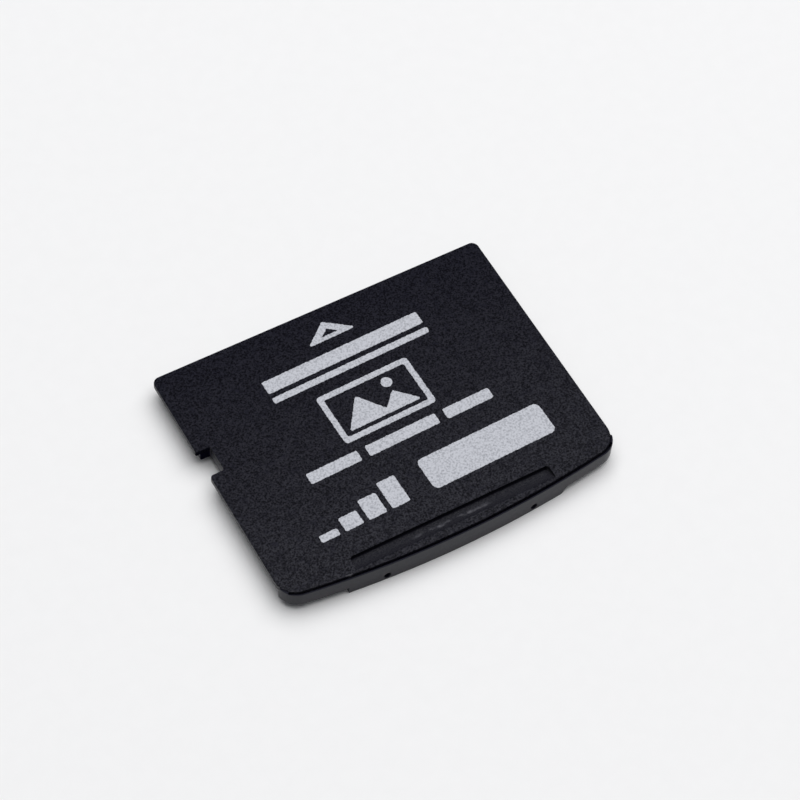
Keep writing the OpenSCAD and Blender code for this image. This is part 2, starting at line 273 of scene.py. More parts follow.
@dataclass
class Surface:
    """A closed surface in mm.

    Attributes:
        points: Array of n places.
        faces: Lists of the points round each face.
    """

    points: np.ndarray
    faces: list[list[int]]

    @staticmethod
    def grid(points: np.ndarray, close_rows: bool, caps: bool) -> "Surface":
        """Makes quads on a grid of points that closes in its first direction.

        Args:
            points: Array of n by m places; the first direction runs round the piece.
            close_rows: Whether the second direction closes too, as on a ring.
            caps: Whether the first and the last row are each closed by one flat face.

        Returns:
            The surface, with its faces outwards where the path runs anticlockwise and the
            rows run up.
        """
        n, m = points.shape[:2]
        index = np.arange(n * m).reshape(n, m)
        here, ahead = index, np.roll(index, -1, axis=0)
        if close_rows:
            up_here, up_ahead = np.roll(here, -1, axis=1), np.roll(ahead, -1, axis=1)
        else:
            here, ahead, up_here, up_ahead = here[:, :-1], ahead[:, :-1], here[:, 1:], ahead[:, 1:]
        quads = np.stack([here, ahead, up_ahead, up_here], axis=-1).reshape(-1, 4)
        faces = quads.tolist()
        if caps:
            faces += [index[::-1, 0].tolist(), index[:, -1].tolist()]
        return Surface(points.reshape(-1, 3), faces)

    @staticmethod
    def sweep(path: Path, inset: np.ndarray, height: np.ndarray) -> "Surface":
        """Carries an upright profile along a path.

        The point at place i of the path and row j of the profile is the path's point, moved
        against its normal by inset(i, j), at height(i, j).

        Args:
            path: The closed path.
            inset: Insets in mm, n by m or one row of m.
            height: Heights in mm, n by m or one row of m.

        Returns:
            The closed surface, flat at its foot and its top.
        """
        n = len(path.points)
        shape = (n, np.asarray(inset).shape[-1])
        inset, height = np.broadcast_to(inset, shape), np.broadcast_to(height, shape)
        flat = path.points[:, None] - path.normals[:, None] * inset[..., None]
        return Surface.grid(np.concatenate([flat, height[..., None]], axis=-1), False, True)

    @staticmethod
    def band(outer: Path, inner: Path, foot: float, top: float, edge: float) -> "Surface":
        """Makes a flat ring between two paths with as many points each.

        A five-sided profile goes up the outer path, over a small edge, across to the inner
        path and down it.

        Args:
            outer: Outer path.
            inner: Inner path, also anticlockwise.
            foot: Lowest height in mm.
            top: Highest height in mm.
            edge: Width and depth of the broken edges in mm.

        Returns:
            The closed ring.
        """
        rows = [(outer, 0, foot), (outer, 0, top - edge), (outer, edge, top),
                (inner, -edge, top), (inner, 0, top - edge), (inner, 0, foot)]
        flat = np.stack([p.points - p.normals * inset for p, inset, _ in rows], axis=1)
        height = np.broadcast_to([h for *_, h in rows], flat.shape[:2])
        return Surface.grid(np.concatenate([flat, height[..., None]], axis=-1), True, False)

    def upright(self) -> "Surface":
        """Lays the surface over so that what ran up +Z runs along +Y.

        Returns:
            The surface laid over.
        """
        x, y, z = self.points.T
        return Surface(np.column_stack([x, z, -y]), self.faces).inside_out()

    def inside_out(self) -> "Surface":
        """Turns every face round.

        Returns:
            The surface with its faces the other way.
        """
        return Surface(self.points, [face[::-1] for face in self.faces])

    def plus(self, other: "Surface") -> "Surface":
        """Puts two surfaces that don't touch into one.

        Args:
            other: The other surface.

        Returns:
            Both as one surface.
        """
        shift = len(self.points)
        faces = self.faces + [[i + shift for i in face] for face in other.faces]
        return Surface(np.vstack([self.points, other.points]), faces)

    def solid(self, name: str) -> bpy.types.Object:
        """Makes the surface a Blender object that is still in mm.

        Args:
            name: Name of the object.

        Returns:
            The object, which is in the scene.
        """
        mesh = bpy.data.meshes.new(name)
        mesh.from_pydata(self.points.tolist(), [], self.faces)
        weld(mesh)
        piece = bpy.data.objects.new(name, mesh)
        bpy.context.scene.collection.objects.link(piece)
        return piece


def weld(mesh: bpy.types.Mesh) -> None:
    """Merges points that lie on one place, drops faces with no area and points faces outwards.

    Args:
        mesh: The mesh, in mm.
    """
    work = bmesh.new()
    work.from_mesh(mesh)
    bmesh.ops.remove_doubles(work, verts=work.verts, dist=WELD_MM)
    bmesh.ops.dissolve_degenerate(work, edges=work.edges, dist=DEGENERATE_MM)
    bmesh.ops.recalc_face_normals(work, faces=work.faces)
    work.to_mesh(mesh)
    work.free()


def combine(base: bpy.types.Object, tool: Surface, how: Join) -> None:
    """Adds a closed surface to a piece, or cuts it out.

    Args:
        base: The piece, in mm.
        tool: The closed surface, in mm.
        how: Whether it is added or cut.
    """
    other = tool.solid("tool")
    change = base.modifiers.new("change", "BOOLEAN")
    change.operation, change.solver, change.object = how.value, "EXACT", other
    seen = base.evaluated_get(bpy.context.evaluated_depsgraph_get())
    made = bpy.data.meshes.new_from_object(seen)
    base.modifiers.clear()
    base.data = made
    bpy.data.objects.remove(other)
    weld(made)


def dress(piece: bpy.types.Object, finish: "Finish", slot: str, *nodes: str) -> None:
    """Turns a piece from mm to metres, gives it its material and body, and hides the CAD nodes that
    it stands for.

    Args:
        piece: The piece, in mm.
        finish: Its finish.
        slot: The record's material slot; not used.
        nodes: The CAD nodes that it stands for.
    """
    mesh = piece.data
    points = np.empty(len(mesh.vertices) * 3)
    mesh.vertices.foreach_get("co", points)
    mesh.vertices.foreach_set("co", points * METRES)
    mesh.materials.clear()
    mesh.materials.append(finish.material())
    mesh.shade_smooth()
    mesh.set_sharp_from_angle(angle=np.radians(SHARP_DEG))
    flat = piece.modifiers.new("flat faces stay flat", "WEIGHTED_NORMAL")
    flat.keep_sharp, flat.weight = True, FACE_WEIGHT
    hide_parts(*nodes)
    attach(piece, BODY)
    LOG.info("%s: %d points", piece.name, len(mesh.vertices))


def add_node(tree: Tree, kind: str, settings: dict | None = None,
             links: dict | None = None) -> bpy.types.Node:
    """Adds a shader node, with its settings and what feeds it.

    Args:
        tree: The material's or the world's node tree.
        kind: Blender's name of the node.
        settings: Values by the name or place of an input, or by the name of a property.
        links: Sockets by the name or place of the input that they feed.

    Returns:
        The node.
    """
    node = tree.nodes.new(kind)
    for key, value in (settings or {}).items():
        if isinstance(key, int) or key in node.inputs:
            node.inputs[key].default_value = value
        else:
            setattr(node, key, value)
    for key, socket in (links or {}).items():
        tree.links.new(socket, node.inputs[key])
    return node


def product(tree: Tree, *factors: float | Socket) -> Socket:
    """Multiplies masks and shares.

    Args:
        tree: Node tree to add to.
        *factors: Two or more sockets or plain numbers, the first one a socket.

    Returns:
        Socket with the product.
    """
    result = factors[0]
    for factor in factors[1:]:
        side = "settings" if isinstance(factor, float) else "links"
        inputs = {"settings": {"operation": "MULTIPLY"}, "links": {0: result}}
        inputs[side][1] = factor
        result = add_node(tree, "ShaderNodeMath", **inputs).outputs[0]
    return result


def ramp(tree: Tree, length: Socket, start: float, end: float, low: float = 0.0,
         high: float = 1.0) -> Socket:
    """Goes evenly from low to high while a length goes from start to end.

    Args:
        tree: Node tree to add to.
        length: Socket with the length in metres.
        start: Length in mm up to which the value is low.
        end: Length in mm from which it is high, larger or smaller than start.
        low: Value at the start.
        high: Value at the end.

    Returns:
        Socket with the value.
    """
    return add_node(tree, "ShaderNodeMapRange",
                    {"From Min": start * METRES, "From Max": end * METRES,
                     "To Min": low, "To Max": high}, {"Value": length}).outputs["Result"]


def near(tree: Tree, length: Socket, middle: float, full: float, gone: float) -> Socket:
    """Marks where a length is near a middle value.

    Args:
        tree: Node tree to add to.
        length: Socket with the length in metres.
        middle: Middle value in mm.
        full: Distance from it in mm up to which the mask is 1.
        gone: Distance in mm from which it is 0.

    Returns:
        Socket with the mask.
    """
    side = add_node(tree, "ShaderNodeMath", {"operation": "SUBTRACT", 1: middle * METRES},
                    {0: length})
    off = add_node(tree, "ShaderNodeMath", {"operation": "ABSOLUTE"}, {0: side.outputs[0]})
    return ramp(tree, off.outputs[0], gone, full)


@dataclass(frozen=True)
class Noise:
    """A noise that is 0 under one level and 1 over another.

    Attributes:
        size: Size of the spots in mm.
        low: Noise level that gives 0.
        high: Noise level that gives 1.
        detail: Octaves of the noise.
    """

    size: float
    low: float
    high: float
    detail: float = 3.0

    def mask(self, tree: Tree, place: Socket) -> Socket:
        """Gives the noise as a mask.

        Args:
            tree: Node tree to add to.
            place: Socket with the place in metres.

        Returns:
            Socket with the mask.
        """
        noise = add_node(tree, "ShaderNodeTexNoise",
                         {"Scale": 1 / (self.size * METRES), "Detail": self.detail},
                         {"Vector": place})
        return add_node(tree, "ShaderNodeMapRange", {"From Min": self.low, "From Max": self.high},
                        {"Value": noise.outputs["Fac"]}).outputs["Result"]


@dataclass(frozen=True)
class PaintedNotchShade:
    """The painted shade on the notch's back wall: a mask that takes its mirrored light away.

    Attributes:
        inner_x: Inner end of the notch along X in mm.
        fade_x: Distance in mm over which the painted shade begins there.
        back_y: The back wall's place along Y in mm.
        reach_y: Distances in mm from the wall at which the painted shade is full and is gone.
        top_z: Heights in mm at which the painted shade begins and is full.
    """

    inner_x: float = -11.4
    fade_x: float = 0.1
    back_y: float = 3.5
    reach_y: Point = (0.06, 0.1)
    top_z: Point = (1.74, 1.7)

    def mask(self, tree: Tree, place: Socket) -> Socket:
        """Gives the painted shade as a mask.

        Args:
            tree: Node tree to add to.
            place: Socket with the place in metres.

        Returns:
            Socket that is 1 on the wall and 0 away from it.
        """
        x, y, z = add_node(tree, "ShaderNodeSeparateXYZ", links={"Vector": place}).outputs
        return product(tree, near(tree, y, self.back_y, *self.reach_y),
                       ramp(tree, x, self.inner_x, self.inner_x - self.fade_x),
                       ramp(tree, z, *self.top_z))


@dataclass(frozen=True)
class Finish:
    """A plain finish: one colour and one gloss. Finishes with a pattern extend it.

    Attributes:
        name: Plain name of the real material.
        color: sRGB colour.
        roughness: Roughness of the surface.
        specular: Specular level, where 0.5 is a common plastic.
        metallic: 1 for a metal.
    """

    name: str
    color: str
    roughness: float
    specular: float = 0.5
    metallic: float = 0.0

    def material(self) -> bpy.types.Material:
        """Gives the material, which is made once.

        Returns:
            The material.
        """
        known = bpy.data.materials.get(self.name)
        if known is not None:
            return known
        made = bpy.data.materials.new(self.name)
        made.use_nodes = True
        tree = made.node_tree
        shader = tree.nodes["Principled BSDF"]
        plain = {"Base Color": linear(self.color), "Roughness": self.roughness,
                 "Specular IOR Level": self.specular, "Metallic": self.metallic}
        for key, value in plain.items():
            shader.inputs[key].default_value = value
        place = add_node(tree, "ShaderNodeTexCoord").outputs["Object"]
        for key, socket in self.pattern(tree, place).items():
            tree.links.new(socket, shader.inputs[key])
        return made

    def pattern(self, tree: Tree, place: Socket) -> dict[str, Socket]:
        """Gives what varies over the surface. A plain finish has nothing of that.

        Args:
            tree: The material's node tree.
            place: Socket with the place on the object in metres.

        Returns:
            Sockets by the name of the surface's input that they feed.
        """
        return {}

    def mixed(self, tree: Tree, share: Socket, first: str | Socket, second: str) -> Socket:
        """Mixes two colours.

        Args:
            tree: The material's node tree.
            share: Socket with the second colour's share.
            first: sRGB colour, or a socket with a colour.
            second: sRGB colour.

        Returns:
            Socket with the colour.
        """
        settings, links = {"Color2": linear(second)}, {"Fac": share}
        if isinstance(first, str):
            settings["Color1"] = linear(first)
        else:
            links["Color1"] = first
        return add_node(tree, "ShaderNodeMixRGB", settings, links).outputs[0]


@dataclass(frozen=True)
class ReliefFinish(Finish):
    """A finish whose surface goes up and down a little.

    Attributes:
        depth: Depth of the relief in mm.
        relief: Share of it that the light shows.
    """

    depth: float = 0.003
    relief: float = 0.4

    def raised(self, tree: Tree, height: Socket) -> Socket:
        """Turns a height into the normals of the surface.

        Args:
            tree: The material's node tree.
            height: Socket with the height, 0 to 1.

        Returns:
            Socket with the normal.
        """
        settings = {"Strength": self.relief, "Distance": self.depth * METRES}
        return add_node(tree, "ShaderNodeBump", settings, {"Height": height}).outputs[0]


@dataclass(frozen=True)
class SparkErodedPlastic(ReliefFinish):
    """Black polycarbonate moulded against a spark-eroded tool.

    The tool leaves fine even pits, and the face has no clear highlight. Its glitter in grey
    points is painted: the grains get a paler colour and the lands more gloss, with painted
    shade in the pits. A painted sheen makes it glossier towards the grip edge, and a paler
    colour painted on the pocket's floor is painted light there. Fingers have rubbed a line
    on the pocket's floor and spots on the front edge pale. The upright walls of the pocket
    and the notch get painted shade: they mirror no light.

    Attributes:
        pale: Paler colour painted on the grains as painted glints.
        floor: Paler colour painted on the pocket's floor as painted light against its shade.
        worn: Colour of the rubbed spots.
        shaded: Specular level in the pits, as a share of specular, which gives them painted shade.
        back_sheen: Specular level at the back edge, as a share of specular; the painted sheen rises
            from it to full at the grip edge.
        grain: The pits, drawn about twice as coarse as they are so that they show.
        patch: The patches of coarser and finer pits.
        run: Place of the back edge and the grip edge along Y in mm, between which the painted sheen
            rises.
        below: Heights in mm at which the pocket's painted floor light and painted wall shade begin
            and are full.
        floor_y: Front and back end of the pocket's floor along Y in mm.
        floor_fade: Half of the length in mm over which the floor's painted light sets in.
        wall_shade_reach: Distances in mm from the steep wall at which its painted shade is full and
            is gone.
        notch: The painted shade in the notch.
        scuff: The spots of the rubbed line on the pocket's floor.
        scuff_y: Middle of that line along Y in mm.
        scuff_w: Distances in mm from there at which it is full and is gone.
        scuff_x: The same along X, from the card's middle.
        fleck: The rubbed spots of the cover's front edge.
        bow_y: Height of the front edge's circle centre along Y, in mm.
        bow_r: Distances in mm from that centre at which the rubbed spots begin and are full.
    """

    depth: float = 0.02
    relief: float = 0.8
    pale: str = "#151521"
    # Painted light: a paler colour for the pocket's floor.
    floor: str = "#212127"
    worn: str = "#606066"
    shaded: float = 0.22
    # Painted sheen: the specular level at the back edge, which rises towards the grip edge.
    back_sheen: float = 0.36
    grain: Noise = Noise(0.12, 0.36, 0.62)
    patch: Noise = Noise(0.4, 0.1, 0.5, 2.0)
    run: Point = (9.5, -9.5)
    below: Point = (1.74, 1.71)
    floor_y: Point = (-9.16, -8.11)
    floor_fade: float = 0.15
    wall_shade_reach: Point = (0.04, 0.1)
    notch: PaintedNotchShade = PaintedNotchShade()
    scuff: Noise = Noise(0.45, 0.45, 0.75, 6.0)
    scuff_y: float = -8.66
    scuff_w: Point = (0.04, 0.2)
    scuff_x: Point = (2.24, 3.2)
    fleck: Noise = Noise(0.6, 0.66, 0.74, 2.0)
    bow_y: float = 67.28
    bow_r: Point = (76.9, 77.0)

    def pattern(self, tree: Tree, place: Socket) -> dict[str, Socket]:
        """Gives the pits, the painted glints, the painted sheen, the painted floor light and shade,
        and the rubbed spots.

        Args:
            tree: The material's node tree.
            place: Socket with the place on the object in metres.

        Returns:
            Sockets by the name of the surface's input that they feed.
        """
        _, y, z = add_node(tree, "ShaderNodeSeparateXYZ", links={"Vector": place}).outputs
        grains = self.grain.mask(tree, place)
        below = ramp(tree, z, *self.below)
        front, back = self.floor_y
        middle, half = (front + back) / 2, (back - front) / 2
        # Painted light on the pocket's floor and painted shade on its steep wall.
        floor = product(tree, below, near(tree, y, middle, half - self.floor_fade,
                                          half + self.floor_fade))
        # Painted shade: the steep wall and the notch's back wall mirror no light.
        wall = product(tree, below, near(tree, y, back, *self.wall_shade_reach))
        shade = add_node(tree, "ShaderNodeMath", {"operation": "MAXIMUM"},
                         {0: wall, 1: self.notch.mask(tree, place)})
        lit = add_node(tree, "ShaderNodeMath", {"operation": "SUBTRACT", 0: 1.0},
                       {1: shade.outputs[0]})
        lands = product(tree, grains, self.patch.mask(tree, place))
        # Painted glints: the lands get more gloss, the pits painted shade.
        glitter = add_node(tree, "ShaderNodeMapRange",
                           {"To Min": self.shaded * self.specular, "To Max": self.specular},
                           {"Value": lands}).outputs["Result"]
        # Painted glints: the grains get a paler colour.
        plain = self.mixed(tree, grains, self.color, self.pale)
        # Painted light: the pocket's floor gets a paler colour.
        painted_floor_light = self.mixed(tree, floor, plain, self.floor)
        return {"Base Color": self.mixed(tree, self.wear(tree, place), painted_floor_light, self.worn),
                "Normal": self.raised(tree, grains),
                # Painted sheen from back to front, times the painted glints, times the painted wall
                # shade.
                "Specular IOR Level": product(tree, glitter, ramp(tree, y, *self.run, self.back_sheen),
                                              lit.outputs[0])}

    def wear(self, tree: Tree, place: Socket) -> Socket:
        """Gives the mask of the rubbed spots, on the pocket's floor and on the front edge.

        Args:
            tree: The material's node tree.
            place: Socket with the place on the object in metres.

        Returns:
            Socket with the mask.
        """
        x, y, _ = add_node(tree, "ShaderNodeSeparateXYZ", links={"Vector": place}).outputs
        line = product(tree, near(tree, y, self.scuff_y, *self.scuff_w),
                       near(tree, x, 0, *self.scuff_x))
        flat = add_node(tree, "ShaderNodeVectorMath", {"operation": "MULTIPLY", 1: (1, 1, 0)},
                        {0: place}).outputs[0]
        reach = add_node(tree, "ShaderNodeVectorMath",
                         {"operation": "DISTANCE", 1: (0, self.bow_y * METRES, 0)},
                         {0: flat}).outputs["Value"]
        scuffs = product(tree, line, self.scuff.mask(tree, place))
        flecks = product(tree, ramp(tree, reach, *self.bow_r), self.fleck.mask(tree, place))
        return add_node(tree, "ShaderNodeMath", {"operation": "MAXIMUM"},
                        {0: scuffs, 1: flecks}).outputs[0]


@dataclass(frozen=True)
class PolishedPlastic(ReliefFinish):
    """Black polycarbonate moulded against a stoned tool.

    It mirrors the table softly, so an upright wall looks grey. Faint flow waves and a little
    handling wear break the sheen.

    Attributes:
        wave: The flow waves.
        fine: The finer unevenness, which also dulls the surface.
        fine_share: Its height, as a share of the waves'.
        dull: Roughness of the dullest spots.
        notch: The painted shade in the notch.
    """

    depth: float = 0.004
    relief: float = 0.5
    wave: Noise = Noise(0.9, 0.2, 0.8, 2.0)
    fine: Noise = Noise(0.12, 0.3, 0.7)
    fine_share: float = 0.35
    dull: float = 0.42
    notch: PaintedNotchShade = PaintedNotchShade()

    def pattern(self, tree: Tree, place: Socket) -> dict[str, Socket]:
        """Gives the flow waves, the dull spots and the painted shade in the notch.

        Args:
            tree: The material's node tree.
            place: Socket with the place on the object in metres.

        Returns:
            Sockets by the name of the surface's input that they feed.
        """
        waves, fine = self.wave.mask(tree, place), self.fine.mask(tree, place)
        height = add_node(tree, "ShaderNodeMath", {"operation": "ADD"},
                          {0: waves, 1: product(tree, fine, self.fine_share)})
        # Painted shade: no specular level on the notch's back wall.
        gloss = add_node(tree, "ShaderNodeMapRange", {"To Min": self.specular, "To Max": 0.0},
                         {"Value": self.notch.mask(tree, place)})
        rough = add_node(tree, "ShaderNodeMapRange",
                         {"To Min": self.roughness, "To Max": self.dull}, {"Value": fine})
        return {"Normal": self.raised(tree, height.outputs[0]),
                "Roughness": rough.outputs["Result"],
                "Specular IOR Level": gloss.outputs["Result"]}


@dataclass(frozen=True)
class GrainyFinish(ReliefFinish):
    """A finish with one fine grain, for solder mask, moulded resin, fired ceramic and paper.

    Attributes:
        second: Colour of the grains.
        grain: The grains.
    """

    second: str = "#202020"
    grain: Noise = Noise(0.1, 0.35, 0.65)

    def pattern(self, tree: Tree, place: Socket) -> dict[str, Socket]:
        """Gives the grain in colour and height.

        Args:
            tree: The material's node tree.
            place: Socket with the place on the object in metres.

        Returns:
            Sockets by the name of the surface's input that they feed.
        """
        grains = self.grain.mask(tree, place)
        return {"Base Color": self.mixed(tree, grains, self.color, self.second),
                "Normal": self.raised(tree, grains)}


@dataclass(frozen=True)
class PadPrintInk(ReliefFinish):
    """Pale grey two-part ink, printed with a silicone pad.

    The film is thin, so it follows the pits of the cover, and it is thinner on their peaks,
    which gives it a fine grey mottle.

    Attributes:
        thin: Colour where the film is thinnest.
        film: The film's thickness.
    """

    depth: float = 0.012
    thin: str = "#989aa1"
    film: Noise = Noise(0.13, 0.3, 0.56, 4.0)

    def pattern(self, tree: Tree, place: Socket) -> dict[str, Socket]:
        """Gives the mottle and the relief of the film.

        Args:
            tree: The material's node tree.
            place: Socket with the place on the object in metres.

        Returns:
            Sockets by the name of the surface's input that they feed.
        """
        thick = self.film.mask(tree, place)
        return {"Base Color": self.mixed(tree, thick, self.thin, self.color),
                "Normal": self.raised(tree, thick)}


@dataclass(frozen=True)
class GoldPlating(Finish):
    """Hard gold over nickel on copper.

    It is satin and slightly uneven, with fine lines along Y where the slot's springs rub it.

    Attributes:
        rubbed: Colour along the lines.
        line: The lines, seen across.
        along: Share by which Y is squeezed, so that spots draw out into lines.
        smooth: Roughness of the lines, as a share of roughness.
    """

    rubbed: str = "#f0d489"
    line: Noise = Noise(0.05, 0.35, 0.65, 2.0)
    along: float = 0.06
    smooth: float = 0.6

    def pattern(self, tree: Tree, place: Socket) -> dict[str, Socket]:
        """Gives the rubbed lines in colour and gloss.

        Args:
            tree: The material's node tree.
            place: Socket with the place on the object in metres.

        Returns:
            Sockets by the name of the surface's input that they feed.
        """
        drawn = add_node(tree, "ShaderNodeMapping", {"Scale": (1, self.along, 1)},
                         {"Vector": place})
        lines = self.line.mask(tree, drawn.outputs[0])
        rough = add_node(tree, "ShaderNodeMapRange",
                         {"To Min": self.roughness, "To Max": self.roughness * self.smooth},
                         {"Value": lines})
        return {"Base Color": self.mixed(tree, lines, self.color, self.rubbed),
                "Roughness": rough.outputs["Result"]}


@dataclass(frozen=True)
class Finishes:
    """The finishes of the card, one for each of the record's material slots."""

    cover: Finish = SparkErodedPlastic("spark-eroded black polycarbonate", "#05050b", 0.45, 1.0)
    case: Finish = PolishedPlastic("smooth black polycarbonate", "#0b0b1a", 0.3, 0.34)
    ink: Finish = PadPrintInk("pale grey pad-printing ink", "#c2c4cb", 0.6, 0.3)
    gold: Finish = GoldPlating("hard gold plating", "#dcae55", 0.3, metallic=1.0)
    mask: Finish = GrainyFinish("dark green solder mask", "#0e1a13", 0.4, second="#13251b")
    resin: Finish = GrainyFinish("black moulding resin", "#1a1a1b", 0.6, second="#232324")
    ceramic: Finish = GrainyFinish("fired capacitor ceramic", "#8d7a5c", 0.5, second="#7c6a4e")
    coating: Finish = GrainyFinish("black resistor coating", "#151515", 0.35, second="#1d1d1d")


@dataclass
class CardOutline:
    """The card seen from above: bowed grip edge, straight sides, side notch.

    Attributes:
        half_w: Half of the width in mm.
        half_l: Half of the length in mm.
        bow_r: Radius of the grip edge.
        corner: Corner radius at the grip edge.
        back_corner: Corner radius at the contact edge.
        notch_depth: Depth of the notch.
        notch_y: Its two walls along Y.
        notch_r: Radius of its inner corners.
        notch_lips: Radii of its outer corners, at the near and at the far wall.
        bow_steps: Steps along the bow.
        corner_steps: Steps in each of the grip edge's corners.
        cut_share: Where the case's grip edge is cut before the step, in radii of its corner.
    """

    half_w: float
    half_l: float
    bow_r: float = 77.0
    corner: float = 1.5
    back_corner: float = 0.5
    notch_depth: float = 1.05
    notch_y: Point = (1.5, 3.5)
    notch_r: float = 0.15
    notch_lips: Point = (0.25, 0.1)
    bow_steps: int = 160
    corner_steps: int = 35
    cut_share: float = 1.2

    @property
    def centre_y(self) -> float:
        """Centre of the bow along Y."""
        return self.bow_r - self.half_l

    def bow(self, x: np.ndarray, shift: float = 0.0) -> Path:
        """Gives the stretch of the bow at the places x.

        The bow is part of a circle: y is its centre less the root of the radius squared less
        x squared, and the normal points away from the centre.

        Args:
            x: Places along X in mm.
            shift: Shift of the circle along +Y in mm.

        Returns:
            The stretch.
        """
        y = self.centre_y - np.sqrt(self.bow_r ** 2 - x ** 2)
        ray = np.column_stack([x, y - self.centre_y]) / self.bow_r
        return Path(np.column_stack([x, y + shift]), ray)

    def grip(self, shift: float = 0.0, end_y: float | None = None) -> Path:
        """Gives the grip edge with both of its round corners.

        Args:
            shift: Shift along +Y in mm.
            end_y: Where the corners are cut off along Y, or None for whole corners.

        Returns:
            The stretch from the left side to the right side.
        """
        x = self.half_w - self.corner
        y = self.centre_y - np.sqrt((self.bow_r - self.corner) ** 2 - x ** 2)
        lean = np.arcsin(x / (self.bow_r - self.corner))
        first = 0.0 if end_y is None else np.arcsin((y - end_y) / self.corner)
        angle = np.linspace(np.pi + first, 1.5 * np.pi - lean, self.corner_steps + 1)
        ray = np.column_stack([np.cos(angle), np.sin(angle)])
        left = Path(np.array([-x, y + shift]) + self.corner * ray, ray)
        flip = np.array([-1, 1])
        right = Path(left.points[::-1] * flip, left.normals[::-1] * flip)
        end = self.bow_r * np.sin(lean)
        return Path.join(left, self.bow(np.linspace(-end, end, self.bow_steps + 1), shift), right)

    def notch(self, side: float) -> list[tuple[float, float, float]]:
        """Gives the notch's corners, down the left side.

        Args:
            side: Half of the width at that side in mm.

        Returns:
            Each corner's x, y and radius.
        """
        near_y, far_y = self.notch_y
        deep = self.notch_depth - self.half_w
        return [(-side, far_y, self.notch_lips[1]), (deep, far_y, self.notch_r),
                (deep, near_y, self.notch_r), (-side, near_y, self.notch_lips[0])]

    def cover(self, shift: float) -> Path:
        """Gives the cover's outline.

        Args:
            shift: Distance of its front edge from the grip edge in mm.

        Returns:
            The outline.
        """
        grip = self.grip(shift)
        w, l, r = self.half_w, self.half_l, self.back_corner
        corners = [(w, l, r), (-w, l, r), *self.notch(w)]
        return Path.join(grip, Path.chain(corners, tuple(grip.points[-1]), tuple(grip.points[0])))

    def case(self, side: float, step_y: float, step_r: float, back_r: float) -> Path:
        """Gives the case's outline: full width at the grip, slimmer along the slot guides.

        The grip edge runs straight on from its cut end to the step's first corner.

        Args:
            side: Half width along the guides in mm.
            step_y: Place of the step along Y.
            step_r: Radius of the step's corners.
            back_r: Corner radius at the contact edge.

        Returns:
            The outline.
        """
        grip = self.grip(end_y=step_y - self.cut_share * step_r)
        end, ray = grip.points[-1], grip.normals[-1]
        w, l = end[0] - ray[1] / ray[0] * (step_y - end[1]), self.half_l
        corners = [(w, step_y, step_r), (side, step_y, step_r), (side, l, back_r),
                   (-side, l, back_r), *self.notch(side), (-side, step_y, step_r),
                   (-w, step_y, step_r)]
        return Path.join(grip, Path.chain(corners, tuple(grip.points[-1]), tuple(grip.points[0])))


def rounded(radius: float, steps: int = 4) -> tuple[np.ndarray, np.ndarray]:
    """Gives a quarter round, whose inset and drop go from (0, radius) to (radius, 0).

    Args:
        radius: Its radius in mm.
        steps: Number of its steps.

    Returns:
        Insets and drops of its points.
    """
    angle = np.linspace(0, np.pi / 2, steps + 1)
    return radius * (1 - np.cos(angle)), radius * (1 - np.sin(angle))


def block(path: Path, foot: float, top: float, edge: float = 0.0) -> Surface:
    """Gives an upright block.

    Args:
        path: Its outline.
        foot: Lowest height in mm.
        top: Highest height.
        edge: Break of its top edge.

    Returns:
        The block.
    """
    return Surface.sweep(path, np.array([0, 0, edge]), np.array([foot, top - edge, top]))


